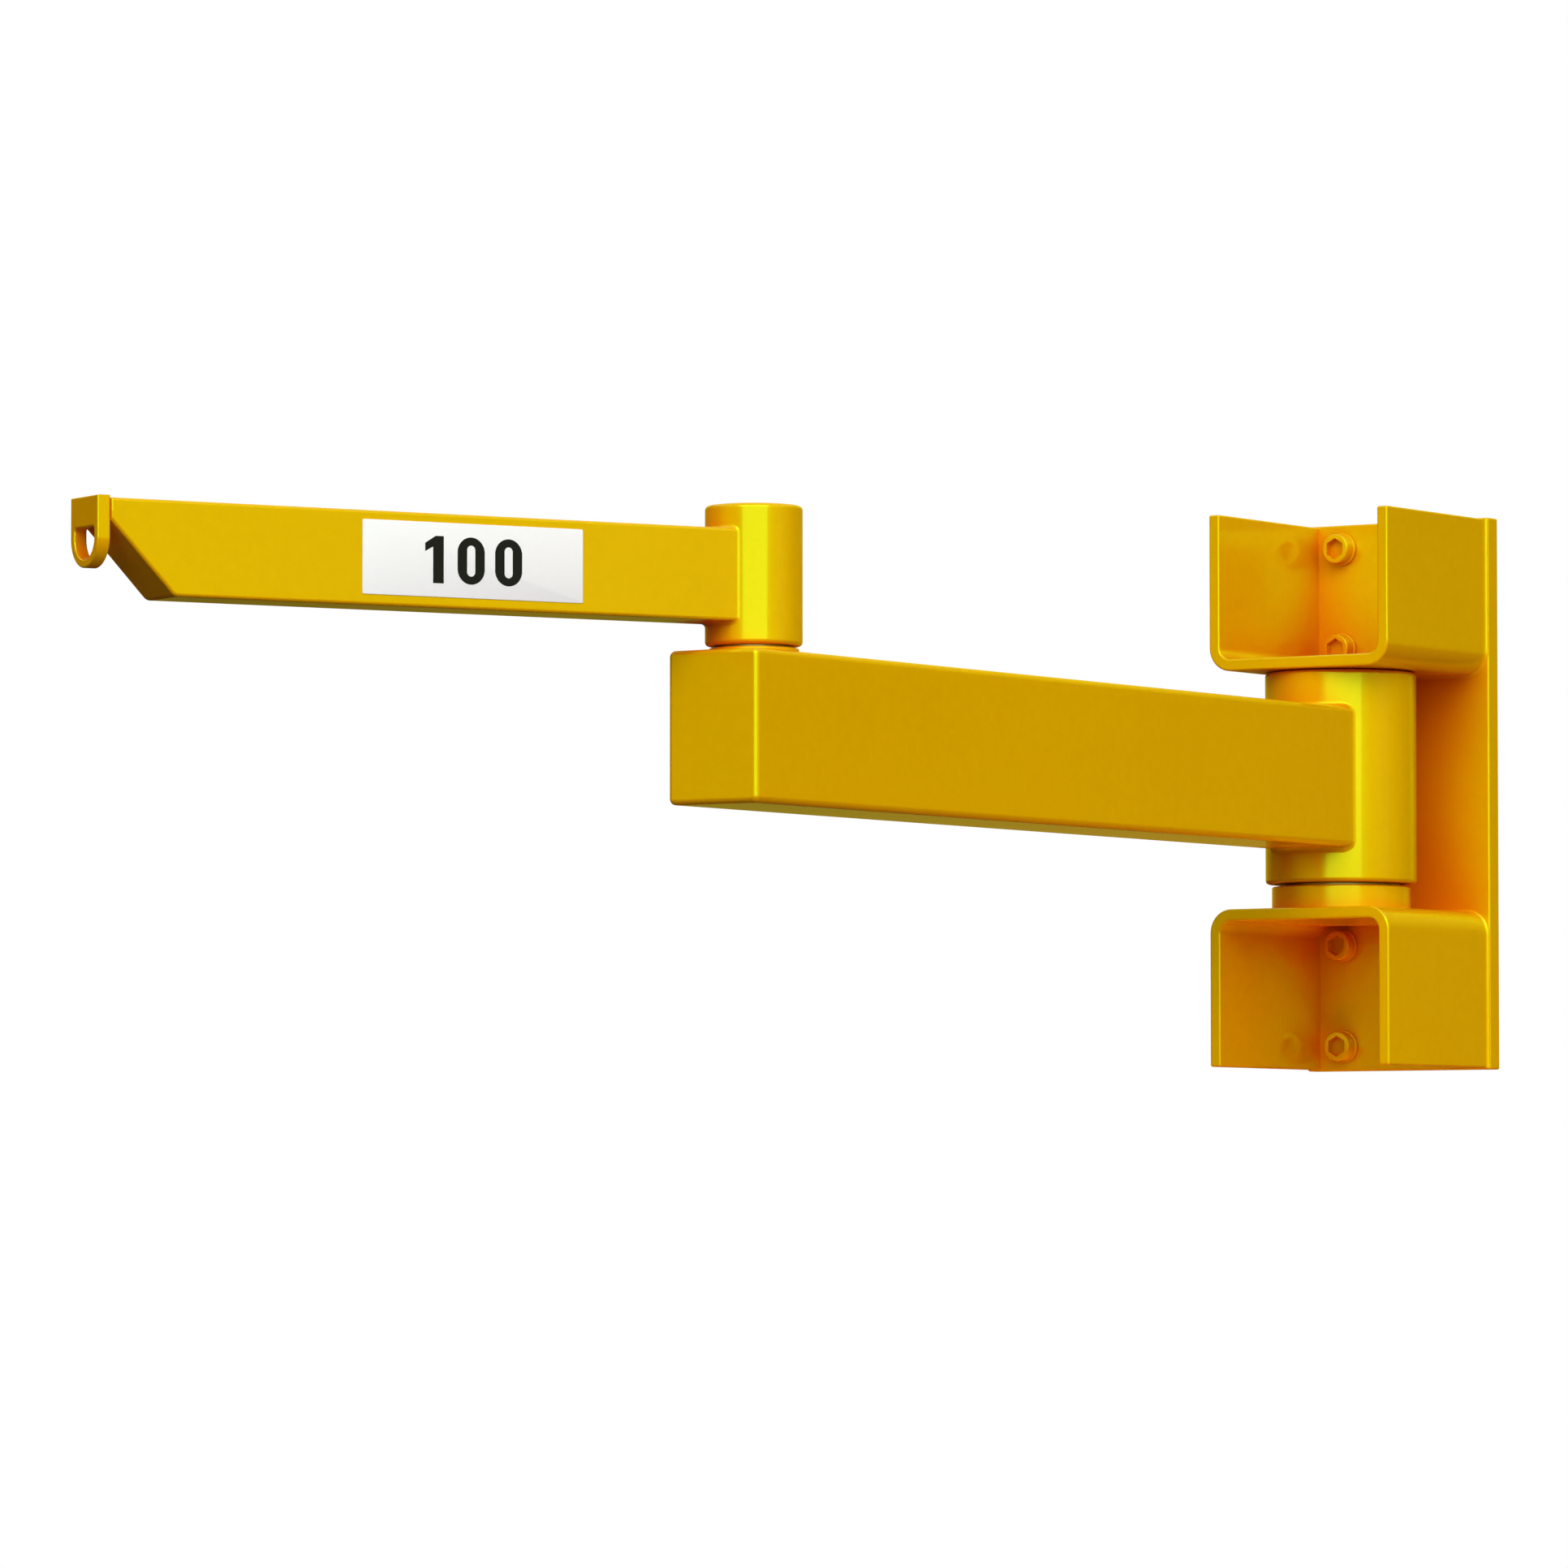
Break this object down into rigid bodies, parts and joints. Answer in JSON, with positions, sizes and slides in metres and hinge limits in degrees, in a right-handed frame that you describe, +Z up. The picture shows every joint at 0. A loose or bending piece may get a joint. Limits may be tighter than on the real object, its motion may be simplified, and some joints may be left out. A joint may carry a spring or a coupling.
{
  "type": "articulated wall jib crane",
  "caption": "Wall bracket of folded channels with a slewing hollow arm and a second arm above it that slews at an elbow and ends in a lifting eye.",
  "frame": {"origin": "centre of the back plate's rear face, which lies on the wall", "axes": "+X along the wall, +Y into the wall, +Z up; the lower arm points along -Y"},
  "size_m": [0.4137, 1.801, 0.56],
  "materials": {
    "yellow_paint": "satin",
    "bright_steel": "satin",
    "bronze": "satin",
    "white_lacquer": "satin",
    "black_ink": "satin"
  },
  "bodies": {
    "wall_bracket": {"back_plate": "yellow_paint", "upper_channel": "yellow_paint", "lower_channel": "yellow_paint", "upper_channel_weld": "yellow_paint", "lower_channel_weld": "yellow_paint", "king_pin": "bright_steel", "spacer_ring": "yellow_paint", "hub_thrust_washer": "bronze"},
    "lower_arm": {"hub_tube": "yellow_paint", "hub_bottom_ring": "yellow_paint", "hub_top_ring": "yellow_paint", "hub_lower_bush": "bronze", "hub_upper_bush": "bronze", "lower_beam": "yellow_paint", "hub_weld": "yellow_paint", "beam_end_cap": "yellow_paint", "elbow_pin": "bright_steel", "elbow_collar": "yellow_paint", "elbow_thrust_washer": "bronze"},
    "upper_arm": {"elbow_tube": "yellow_paint", "elbow_cap": "yellow_paint", "elbow_lower_bush": "bronze", "elbow_upper_bush": "bronze", "upper_beam": "yellow_paint", "elbow_weld": "yellow_paint", "slope_plate": "yellow_paint", "eye_plate": "yellow_paint"}
  },
  "joints": [
    {"name": "hub_slew", "type": "hinge", "parent": "wall_bracket", "child": "lower_arm", "pos_m": [0, -0.131, 0], "axis": [0, 0, 1], "range_deg": [-90, 90]},
    {"name": "elbow_slew", "type": "hinge", "parent": "lower_arm", "child": "upper_arm", "pos_m": [0, -1.176, 0.15], "axis": [0, 0, 1], "continuous": true}
  ]
}
